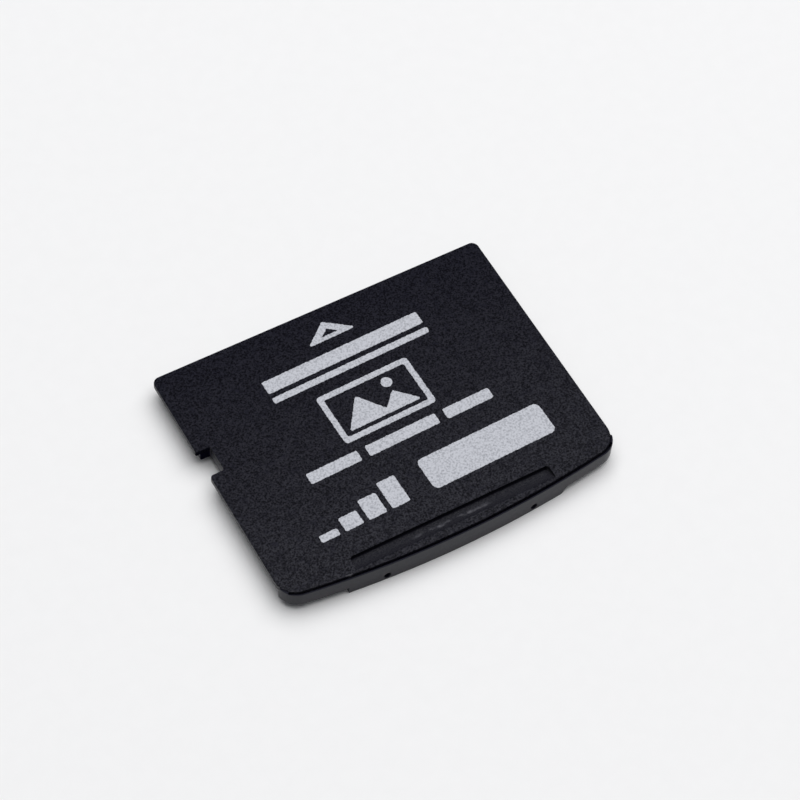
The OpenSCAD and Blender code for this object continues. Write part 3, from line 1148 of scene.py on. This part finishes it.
@dataclass
class TopCover:
    """The label side's plate with its finger pocket, locating rib and pocket block.

    Attributes:
        outline: The card's outline.
        top: Height of the label face in mm.
        thickness: Thickness of the plate.
        setback: Distance of its front edge from the grip edge.
        edge: Radius of its top edge.
        foot_parts: That radius over the break of the foot's edge.
        flat_row: Width of the flat rows next to both edges, in radii.
        pocket: Lowest and highest corner of the pocket, seen from above.
        pocket_depth: Depth at the steep wall.
        pocket_r: Corner radius of the pocket.
        pocket_step: Step of the floor's points along its middle line.
        pocket_rows: Rows of faces from the floor's edge to that line.
        skin: Material left behind and under the pocket.
        skin_r: Corner radius of the pocket's block.
        rib: Lowest and highest corner of the rib, seen from above.
        rib_w: Width of the rib.
        rib_h: Depth of the rib.
        rib_r: Corner radius of the rib.
        rib_edge: Break of the rib's edges.
        over: How far added and cut shapes run past a face.
        headroom: Height of the cut pocket above the label face.
    """

    outline: CardOutline
    top: float
    thickness: float = 0.45
    setback: float = 0.28
    edge: float = 0.07
    foot_parts: float = 3.0
    flat_row: float = 1.3
    pocket: Corners = ((-7.45, -9.16), (7.45, -8.11))
    pocket_depth: float = 0.4
    pocket_r: float = 0.25
    pocket_step: float = 0.12
    pocket_rows: int = 8
    skin: float = 0.22
    skin_r: float = 0.05
    rib: Corners = ((-7.55, -6.25), (7.55, 9.35))
    rib_w: float = 0.5
    rib_h: float = 0.25
    rib_r: float = 0.1
    rib_edge: float = 0.02
    over: float = 0.1
    headroom: float = 0.3

    def plate(self) -> Surface:
        """Sweeps a plate with a round top edge and a small foot edge along the outline.

        Returns:
            The plate.
        """
        inset, drop = rounded(self.edge)
        foot = self.top - self.thickness
        small, flat = self.edge / self.foot_parts, self.flat_row * self.edge
        return Surface.sweep(
            self.outline.cover(self.setback),
            np.concatenate([[flat, small, 0], inset, [flat]]),
            np.concatenate([[foot, foot, foot + small], self.top - drop, [self.top]]))

    def hollow(self) -> Surface:
        """Gives the space of the pocket, up to a little over the label face.

        The floor is part of a cylinder along X that is level at the steep wall's foot:
        its height is the centre's less the root of the radius squared less the squared
        distance from the wall. Each row of the floor is the outline drawn in towards the
        pocket's middle line, where both halves meet in even steps. That line closes the
        floor, so the flat face there is taken out.

        Returns:
            The space.
        """
        (x0, y0), (x1, y1) = self.pocket
        run, front = y1 - y0, y0 - self.over
        radius = (run ** 2 + self.pocket_depth ** 2) / (2 * self.pocket_depth)
        path = Path.rectangle((x0, front), (x1, y1), self.pocket_r).spaced(self.pocket_step / 2)
        even = np.round(path.points[:, 0] / self.pocket_step) * self.pocket_step
        middle = np.column_stack([np.clip(even, x0 + run / 2, x1 - run / 2),
                                  np.full(len(path.points), (front + y1) / 2)])
        share = np.linspace(0, 1, self.pocket_rows + 1)[None, :, None]
        flat = path.points[:, None] * (1 - share) + middle[:, None] * share
        height = (self.top - self.pocket_depth + radius
                  - np.sqrt(radius ** 2 - (flat[..., 1] - y1) ** 2))
        floor = np.concatenate([flat, height[..., None]], axis=-1)[:, ::-1]
        lid = np.column_stack([path.points,
                               np.full(len(path.points), self.top + self.headroom)])
        rows = np.concatenate([floor, lid[:, None]], axis=1)
        made = Surface.grid(rows, False, True)
        made.faces.pop(-2)
        return made

    def build(self, finishes: Finishes) -> None:
        """Builds and dresses the cover.

        Args:
            finishes: The card's finishes.
        """
        cover = self.plate().solid("top_cover_shell")
        (x0, y0), (x1, y1) = self.pocket
        foot = self.top - self.thickness
        land = Path.rectangle((x0 - self.skin, y0), (x1 + self.skin, y1 + self.skin),
                              self.skin_r)
        low = self.top - self.pocket_depth - self.skin
        combine(cover, block(land, low, foot + self.over), Join.ADD)
        (x0, y0), (x1, y1) = self.rib
        w = self.rib_w
        rib = Surface.band(Path.rectangle((x0, y0), (x1, y1), self.rib_r),
                           Path.rectangle((x0 + w, y0 + w), (x1 - w, y1 - w), self.rib_r),
                           foot - self.rib_h, foot + self.over, self.rib_edge)
        combine(cover, rib, Join.ADD)
        combine(cover, self.hollow(), Join.CUT)
        dress(cover, finishes.cover, "cover_plastic", "top_cover")


@dataclass
class BottomCase:
    """The case: grip wall with its lip, guides, pad, contact window and board cavity.

    Attributes:
        outline: The card's outline.
        seat: Height on which the cover lies, in mm.
        lip_top: Height of the lip in front of the cover.
        rail: Height of the side rails' underside.
        lip_w: Width of the lip.
        groove_w: Width of the groove between lip and cover.
        lip_x: Where the groove ends along X.
        fade_w: Width below which the lip gets lower.
        lip_edge: Radius of the lip's edges.
        lip_steps: Steps round each of these edges.
        lip_from: Share of the outward normal that points to -Y, beyond which there is a lip.
        lip_end: Distance from the step at which the lip ends.
        side: Half width along the slot guides.
        step_y: Where the full-width grip block ends along Y.
        step_r: Radius of the corners there.
        back_r: Corner radius at the contact edge.
        edge: Break of the lower edges.
        pad_w: Width of the pad.
        pad_r: Radius of its corners at the contact edge.
        pad_steps: Steps along its front.
        pad_bevel: Bevel of the pad's right-hand side.
        lead_in: Chamfer under the contact edge.
        cavity: Lowest and highest corner of the board's space, seen from above.
        cavity_r: Its corner radius.
        floor: Thickness under the board.
        window: Lowest and highest corner of the contact window.
        window_r: Its corner radius.
        window_over: How far its cutter runs past the floor.
        land: Lowest and highest corner of the seat for the pocket block.
        land_r: Its corner radius.
        land_floor: Height of that seat's floor.
        over: How far the upper cutters run past the seat.
        hole_x: Places of the two small holes in the grip wall.
        hole_z: Height of the holes.
        hole_r: Radius of the holes.
        hole_depth: Depth of the holes.
        hole_flare: Flare of their mouths.
        hole_steps: Points round each hole.
        mark_r: Radius of the ejector marks.
        mark_depth: Depth of the ejector marks.
        marks: Places of the ejector marks.
    """

    outline: CardOutline
    seat: float
    lip_top: float
    rail: float = 0.58
    lip_w: float = 0.1
    groove_w: float = 0.18
    lip_x: float = 12.15
    fade_w: float = 0.08
    lip_edge: float = 0.03
    lip_steps: int = 3
    lip_from: float = 0.01
    lip_end: float = 0.04
    side: float = 12.15
    step_y: float = -7.9
    step_r: float = 0.05
    back_r: float = 0.15
    edge: float = 0.04
    pad_w: float = 16.4
    pad_r: float = 0.08
    pad_steps: int = 96
    pad_bevel: float = 0.44
    lead_in: float = 0.3
    cavity: Corners = ((-7.6, -6.3), (7.6, 9.4))
    cavity_r: float = 0.15
    floor: float = 0.22
    window: Corners = ((-7.225, 6.325), (7.225, 9.025))
    window_r: float = 0.12
    window_over: float = 0.1
    land: Corners = ((-7.72, -9.21), (7.72, -7.84))
    land_r: float = 0.05
    land_floor: float = 1.09
    over: float = 0.2
    hole_x: Point = (-5.51, 5.51)
    hole_z: float = 0.45
    hole_r: float = 0.24
    hole_depth: float = 0.25
    hole_flare: float = 0.04
    hole_steps: int = 32
    mark_r: float = 0.6
    mark_depth: float = 0.03
    marks: tuple[Point, ...] = ((-5.5, -5.05), (-5.5, 5.125), (5.5, -5.05), (5.5, 5.125))

    def body(self) -> Surface:
        """Sweeps the wall, whose profile grows a lip where the path runs along the grip edge.

        The lip is as wide as lip_w times the share of the normal that points to -Y. Beyond
        lip_x it also fills the groove and so closes it, and it runs out in height as its
        width falls below fade_w. Behind the grip block its rows fall together on the seat.

        Returns:
            The wall with its lip.
        """
        path = self.outline.case(self.side, self.step_y, self.step_r, self.back_r)
        forward, reach = -path.normals[:, 1:2], np.abs(path.points[:, :1])
        lip = (forward > self.lip_from) & (path.points[:, 1:2] < self.step_y - self.lip_end)
        full = np.where(reach < self.lip_x, self.lip_w, self.lip_w + self.groove_w)
        width = np.where(lip, full * forward, self.lip_edge)
        rise = np.where(lip, np.clip(width / self.fade_w, 0, 1), 0)
        top = self.seat + (self.lip_top - self.seat) * rise
        low = np.where(reach > self.pad_w / 2, self.edge, 0.0)
        inset, drop = rounded(1.0, self.lip_steps)
        edge, one = np.minimum(self.lip_edge, width / 2), np.ones_like(width)
        insets = [low, 0 * one, inset * edge, width - inset[::-1] * edge, width]
        heights = [self.rail * one, self.rail + low, top - drop * edge, top - drop[::-1] * edge,
                   self.seat * one]
        return Surface.sweep(path, np.hstack(insets), np.hstack(heights))

    def pad(self) -> Surface:
        """Gives the raised pad, row by row.

        At height z its right side lies pad_bevel times 1 - z / rail further in, its back lies
        lead_in - z further in below the chamfer's height, and its front keeps to the bow.

        Returns:
            The pad.
        """
        z = np.array([0, self.edge, self.lead_in, self.rail])
        inset = np.array([self.edge, 0, 0, 0])
        half, l = self.pad_w / 2, self.outline.half_l
        right = half - self.pad_bevel * (1 - z / self.rail)
        back = l - np.clip(self.lead_in - z, 0, None)
        rows = []
        for x1, y1, off in zip(right, back, inset):
            front = self.outline.bow(np.linspace(-half, x1, self.pad_steps + 1))
            first = Path(front.points[:1], np.array([[-1.0, 0.0]]))
            last = Path(front.points[-1:], np.array([[1.0, 0.0]]))
            corners = Path.chain([(x1, y1, self.pad_r), (-half, y1, self.pad_r)],
                                 tuple(front.points[-1]), tuple(front.points[0]))
            path = Path.join(first, front, last, corners)
            rows.append(path.points - path.normals * off)
        flat = np.stack(rows, axis=1)
        height = np.broadcast_to(z, flat.shape[:2])
        return Surface.grid(np.concatenate([flat, height[..., None]], axis=-1), False, True)

    def flared(self, path: Path, foot: float, top: float, flare: float = 0.02) -> Surface:
        """Gives a cutter from below whose mouth at foot is flared.

        Args:
            path: Outline of the cutter.
            foot: Height of the mouth in mm.
            top: Height of its end.
            flare: Width and depth of the flare.

        Returns:
            The cutter.
        """
        return Surface.sweep(path, np.array([-flare, -flare, 0, 0]),
                             np.array([foot - self.edge, foot, foot + flare, top]))

    def hole(self, x: float) -> Surface:
        """Gives the cutter of one small hole in the grip wall.

        Args:
            x: Place of the hole along X in mm.

        Returns:
            The cutter.
        """
        wall = self.outline.bow(np.array([x])).points[0, 1]
        mouth = Path.circle((0, 0), self.hole_r, self.hole_steps)
        laid = self.flared(mouth, 0, self.hole_depth, self.hole_flare).upright()
        return Surface(laid.points + (x, wall, self.hole_z), laid.faces)

    def build(self, finishes: Finishes) -> None:
        """Builds and dresses the case.

        Args:
            finishes: The card's finishes.
        """
        case = self.body().solid("bottom_case_shell")
        combine(case, self.pad(), Join.ADD)
        high = self.seat + self.over
        cuts = [block(Path.rectangle(*self.cavity, self.cavity_r), self.floor, high),
                block(Path.rectangle(*self.land, self.land_r), self.land_floor, high),
                self.flared(Path.rectangle(*self.window, self.window_r), 0,
                            self.floor + self.window_over),
                *[self.hole(x) for x in self.hole_x],
                *[self.flared(Path.circle(p, self.mark_r), 0, self.mark_depth)
                  for p in self.marks]]
        for cut in cuts:
            combine(case, cut, Join.CUT)
        dress(case, finishes.case, "case_plastic", "bottom_case")


@dataclass
class Print:
    """The ink on the cover: arrow, title, emblem, format bars, gauge and writing panel.

    Attributes:
        foot: Height of the label face in mm.
        top: Height of the ink's face.
        turn: Turn of the whole print in degrees.
        corner: Smallest corner radius that the ink holds.
        edge: Break of the film's edge.
        ragged: Unevenness of the edges.
        wave: Longest wave of that unevenness.
        spacing: Distance between the points of a path.
    """

    foot: float
    top: float
    turn: float = 1.42
    corner: float = 0.12
    edge: float = 0.008
    ragged: float = 0.012
    wave: float = 1.6
    spacing: float = 0.08

    def film(self, path: Path, seed: int) -> Surface:
        """Gives a film of ink inside a path.

        Args:
            path: The path, already turned.
            seed: Seed of its uneven edge.

        Returns:
            The film.
        """
        uneven = path.spaced(self.spacing).ragged(self.ragged, self.wave, seed)
        return block(uneven, self.foot, self.top, self.edge)

    def box(self, low: Point, high: Point, seed: int) -> Surface:
        """Gives a rectangular film.

        Args:
            low: Lowest corner before the print is turned.
            high: Highest corner.
            seed: Seed of its uneven edge.

        Returns:
            The film.
        """
        return self.film(Path.rectangle(low, high, self.corner).turned(self.turn), seed)

    def frame(self, outer: Path, inner: Path, seed: int) -> Surface:
        """Gives a film between two paths, which are sampled at as many places each.

        Args:
            outer: Outer path before the print is turned.
            inner: Inner path.
            seed: Seed of the outer edge; the inner one takes the next.

        Returns:
            The film.
        """
        inner_step = self.spacing * inner.steps.sum() / outer.steps.sum()
        paths = [outer.turned(self.turn).spaced(self.spacing),
                 inner.turned(self.turn).spaced(inner_step)]
        n = min(len(p.points) for p in paths)
        cut = [Path(p.points[:n], p.normals[:n]).ragged(self.ragged, self.wave, seed + k)
               for k, p in enumerate(paths)]
        return Surface.band(*cut, self.foot, self.top, self.edge)

    def arrow(self) -> Surface:
        """Gives the open triangle that points to the contact edge.

        Returns:
            The film.
        """
        half, base, height, hole = 1.85, 7.42, 1.45, 0.34
        outer_r, inner_r = 0.1, 0.02
        low, half_hole = base + height * (1 - hole) / 3, half * hole
        outer = Path.chain([(-half, base, outer_r), (half, base, outer_r),
                            (0, base + height, outer_r)])
        inner = Path.chain([(-half_hole, low, inner_r), (half_hole, low, inner_r),
                            (0, low + height * hole, inner_r)])
        return self.frame(outer, inner, seed=1)

    def title(self) -> Surface:
        """Gives the title bar and its rule.

        Returns:
            The film.
        """
        half, rule, bar = 6, (4.6, 5.08), (5.46, 6.5)
        thin = self.box((-half, rule[0]), (half, rule[1]), seed=3)
        return thin.plus(self.box((-half, bar[0]), (half, bar[1]), seed=4))

    def emblem(self) -> Surface:
        """Gives the framed landscape: frame, skyline of two hills, sun.

        The dip of the skyline lies where the far slope of the high hill meets the near slope
        of the low one.

        Returns:
            The film.
        """
        half_w, half_h, y, line, gap = 3.5, 2.05, 1.6, 0.42, 0.3
        outer_r, inner_r, foot_r, peak_r, dip_r, sun_r = 0.3, 0.12, 0.1, 0.12, 0.08, 0.4
        apart = 2.4
        outer = Path.rectangle((-half_w, y - half_h), (half_w, y + half_h), outer_r)
        inner = Path.rectangle((line - half_w, y - half_h + line),
                               (half_w - line, y + half_h - line), inner_r)
        ground = y - half_h + line + gap
        (w, h), (low_w, low_h) = (3.4, 2.3), (2.9, 1.5)
        right = half_w - line - gap
        low_x = right - low_w / 2
        x = low_x - apart
        slope, low_slope = 2 * h / w, 2 * low_h / low_w
        dip = (h + slope * x - low_h + low_slope * low_x) / (slope + low_slope)
        skyline = Path.chain([(x - w / 2, ground, foot_r), (right, ground, foot_r),
                              (low_x, ground + low_h, peak_r),
                              (dip, ground + h - slope * (dip - x), dip_r),
                              (x, ground + h, peak_r)])
        sun = Path.circle((low_x, (ground + low_h + y + half_h - line) / 2), sun_r)
        picture = self.film(skyline.turned(self.turn), seed=7)
        picture = picture.plus(self.film(sun.turned(self.turn), seed=8))
        return self.frame(outer, inner, seed=5).plus(picture)

    def format_bars(self) -> Surface:
        """Gives the row of bars of unequal length.

        Returns:
            The film.
        """
        width, gap, middle, height = 14, 0.6, -1.6, 0.85
        shares = np.array([0.3, 0.42, 0.28])
        inked = width - (len(shares) - 1) * gap
        ends = np.cumsum(shares) * inked + np.arange(len(shares)) * gap - width / 2
        first, *rest = [self.box((a, middle - height / 2), (b, middle + height / 2), seed)
                        for seed, a, b in zip((9, 10, 11), ends - shares * inked, ends)]
        for bar in rest:
            first = first.plus(bar)
        return first

    def gauge(self) -> Surface:
        """Gives the four steps that rise to the right.

        Returns:
            The film.
        """
        left, foot, step, gap, height, seeds = -8.6, -6.2, 1.35, 0.4, 2.2, (12, 13, 14, 15)
        made = None
        for i, seed in enumerate(seeds):
            x = left + i * (step + gap)
            bar = self.box((x, foot), (x + step, foot + height * (i + 1) / len(seeds)), seed)
            made = bar if made is None else made.plus(bar)
        return made

    def panel(self) -> Surface:
        """Gives the writing panel, turned about its own middle.

        Returns:
            The film.
        """
        half_w, half_h, radius, x, y = 4.715, 1.26, 0.4, 4.65, -4.94
        path = Path.rectangle((-half_w, -half_h), (half_w, half_h), radius, self.turn)
        return self.film(path.moved(x, y), seed=16)

    def build(self, finishes: Finishes) -> None:
        """Builds and dresses the six prints.

        Args:
            finishes: The card's finishes.
        """
        prints = {"insertion_arrow": self.arrow, "title_bars": self.title,
                  "picture_emblem": self.emblem, "format_bars": self.format_bars,
                  "capacity_gauge": self.gauge, "writing_panel": self.panel}
        for node, shape in prints.items():
            dress(shape().solid(node + "_print"), finishes.ink, "print_ink", node)


@dataclass
class Contacts:
    """The row of plated contacts on the board's underside.

    Attributes:
        radius: Corner radius in mm.
        edge: Round of the plating's edge.
    """

    radius: float = 0.1
    edge: float = 0.02

    def build(self, finishes: Finishes) -> None:
        """Builds and dresses each contact where its solid is.

        Args:
            finishes: The card's finishes.
        """
        for node in sorted(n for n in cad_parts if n.startswith("contact_")):
            low, high = (np.array(corner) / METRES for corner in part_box(node))
            path = Path.rectangle(tuple(low[:2]), tuple(high[:2]), self.radius)
            inset, drop = rounded(self.edge)
            plate = Surface.sweep(path, np.append(inset[::-1], 0),
                                  np.append(low[2] + drop[::-1], high[2]))
            dress(plate.solid(node + "_plating"), finishes.gold, "contact_gold", node)


@dataclass
class BoardAssembly:
    """The board and what is on it. Their solids have the right shape and only take a finish."""

    def build(self, finishes: Finishes) -> None:
        """Dresses the solids.

        Args:
            finishes: The card's finishes.
        """
        looks = {"circuit_board": finishes.mask, "memory_package": finishes.resin,
                 "capacitor_1": finishes.ceramic, "capacitor_2": finishes.ceramic,
                 "pull_up_resistor": finishes.coating}
        for node, finish in looks.items():
            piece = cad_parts[node]
            piece.data.materials.clear()
            piece.data.materials.append(finish.material())
            LOG.info("%s: dressed", node)


@dataclass
class Studio:
    """Table, lamps, world and camera.

    Attributes:
        place: The camera's place in mm.
        heading: Turn of its view from +Y towards +X, in degrees.
        down: How far it looks down, in degrees.
        roll: Its roll, in degrees.
        lens: Focal length in mm.
        sensor: Width of the sensor in mm.
        clip: Nearest and farthest distance that it shows, in metres.
        paper: Finish of the table.
        table: Half of the table's side in metres.
        room: Colour of the room's walls.
        ceiling: Colour of the lit ceiling.
        ceiling_z: Height of a unit view ray at which the ceiling begins and is full.
        softbox: Place of the lamp in metres.
        softbox_side: Side of the lamp in metres.
        softbox_watts: Its power.
    """

    place: tuple[float, float, float] = (-51.554, -79.682, 146.825)
    heading: float = 33.307
    down: float = 56.401
    roll: float = 4.574
    lens: float = 117.84
    sensor: float = 36.0
    clip: Point = (0.01, 10.0)
    paper: Finish = GrainyFinish("matt white paper", "#f0f0f0", 0.9, 0.2, second="#f1f1f1",
                                 grain=Noise(1.2, 0.35, 0.65), depth=0.004)
    table: float = 1.5
    room: str = "#595a5d"
    ceiling: str = "#e8e8ea"
    ceiling_z: Point = (0.7, 0.95)
    softbox: tuple[float, float, float] = (0.2, 0.15, 0.75)
    softbox_side: float = 1.0
    softbox_watts: float = 7.1

    def camera(self) -> None:
        """Makes the camera that took the photograph."""
        h, d, r = np.radians([self.heading, self.down, self.roll])
        forward = np.array([np.sin(h) * np.cos(d), np.cos(h) * np.cos(d), -np.sin(d)])
        level = np.array([np.cos(h), -np.sin(h), 0])
        upright = np.cross(level, forward)
        right = level * np.cos(r) + upright * np.sin(r)
        up = np.cross(right, forward)
        data = bpy.data.cameras.new("camera")
        data.sensor_width, data.lens = self.sensor, self.lens
        data.clip_start, data.clip_end = self.clip
        camera = bpy.data.objects.new("camera", data)
        bpy.context.scene.collection.objects.link(camera)
        turn = Matrix(np.column_stack([right, up, -forward]).tolist()).to_4x4()
        camera.matrix_world = Matrix.Translation(np.array(self.place) * METRES) @ turn
        bpy.context.scene.camera = camera

    def lamp(self) -> None:
        """Adds the square lamp that shines at the card and isn't mirrored in it."""
        data = bpy.data.lights.new("softbox", "AREA")
        data.energy, data.size = self.softbox_watts, self.softbox_side
        lamp = bpy.data.objects.new("softbox", data)
        bpy.context.scene.collection.objects.link(lamp)
        lamp.location = self.softbox
        lamp.rotation_mode = "QUATERNION"
        lamp.rotation_quaternion = (-Vector(self.softbox)).to_track_quat("-Z", "Y")
        lamp.visible_glossy = False

    def room_light(self) -> None:
        """Makes a room with dim walls and a pale ceiling, the colour of the table to the camera."""
        world = bpy.data.worlds.new("room")
        world.use_nodes = True
        bpy.context.scene.world = world
        tree = world.node_tree
        ray = add_node(tree, "ShaderNodeTexCoord").outputs["Generated"]
        height = add_node(tree, "ShaderNodeSeparateXYZ", links={"Vector": ray}).outputs["Z"]
        share = add_node(tree, "ShaderNodeMapRange",
                         {"interpolation_type": "SMOOTHSTEP",
                          "From Min": self.ceiling_z[0], "From Max": self.ceiling_z[1]},
                         {"Value": height}).outputs["Result"]
        seen = add_node(tree, "ShaderNodeLightPath").outputs["Is Camera Ray"]
        lit = add_node(tree, "ShaderNodeMixRGB",
                       {"Color1": linear(self.room), "Color2": linear(self.ceiling)},
                       {"Fac": share}).outputs[0]
        shown = add_node(tree, "ShaderNodeMixRGB", {"Color2": linear(self.paper.color)},
                         {"Fac": seen, "Color1": lit}).outputs[0]
        tree.links.new(shown, tree.nodes["Background"].inputs["Color"])

    def build(self) -> None:
        """Makes the table, the world, the lamps and the camera."""
        self.camera()
        half = self.table
        mesh = bpy.data.meshes.new("table")
        corners = [(-half, -half, 0), (half, -half, 0), (half, half, 0), (-half, half, 0)]
        mesh.from_pydata(corners, [], [(0, 1, 2, 3)])
        table = bpy.data.objects.new("table", mesh)
        bpy.context.scene.collection.objects.link(table)
        mesh.materials.append(self.paper.material())
        table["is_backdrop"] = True
        self.room_light()
        self.lamp()
        bpy.context.scene.view_settings.view_transform = "Standard"


def main() -> None:
    """Builds the card and its studio."""
    logging.basicConfig(level=logging.INFO, format="%(name)s: %(message)s")
    cad_low, cad_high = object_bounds()
    Studio().build()
    finishes = Finishes()
    low, high = np.array(cad_low) / METRES, np.array(cad_high) / METRES
    outline = CardOutline(half_w=(high[0] - low[0]) / 2, half_l=(high[1] - low[1]) / 2)
    ink_foot = float(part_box("writing_panel")[0].z / METRES)
    cover = TopCover(outline, top=ink_foot)
    cover.build(finishes)
    BottomCase(outline, seat=ink_foot - cover.thickness, lip_top=ink_foot).build(finishes)
    Print(foot=ink_foot, top=high[2]).build(finishes)
    Contacts().build(finishes)
    BoardAssembly().build(finishes)


if __name__ == "__main__":
    main()
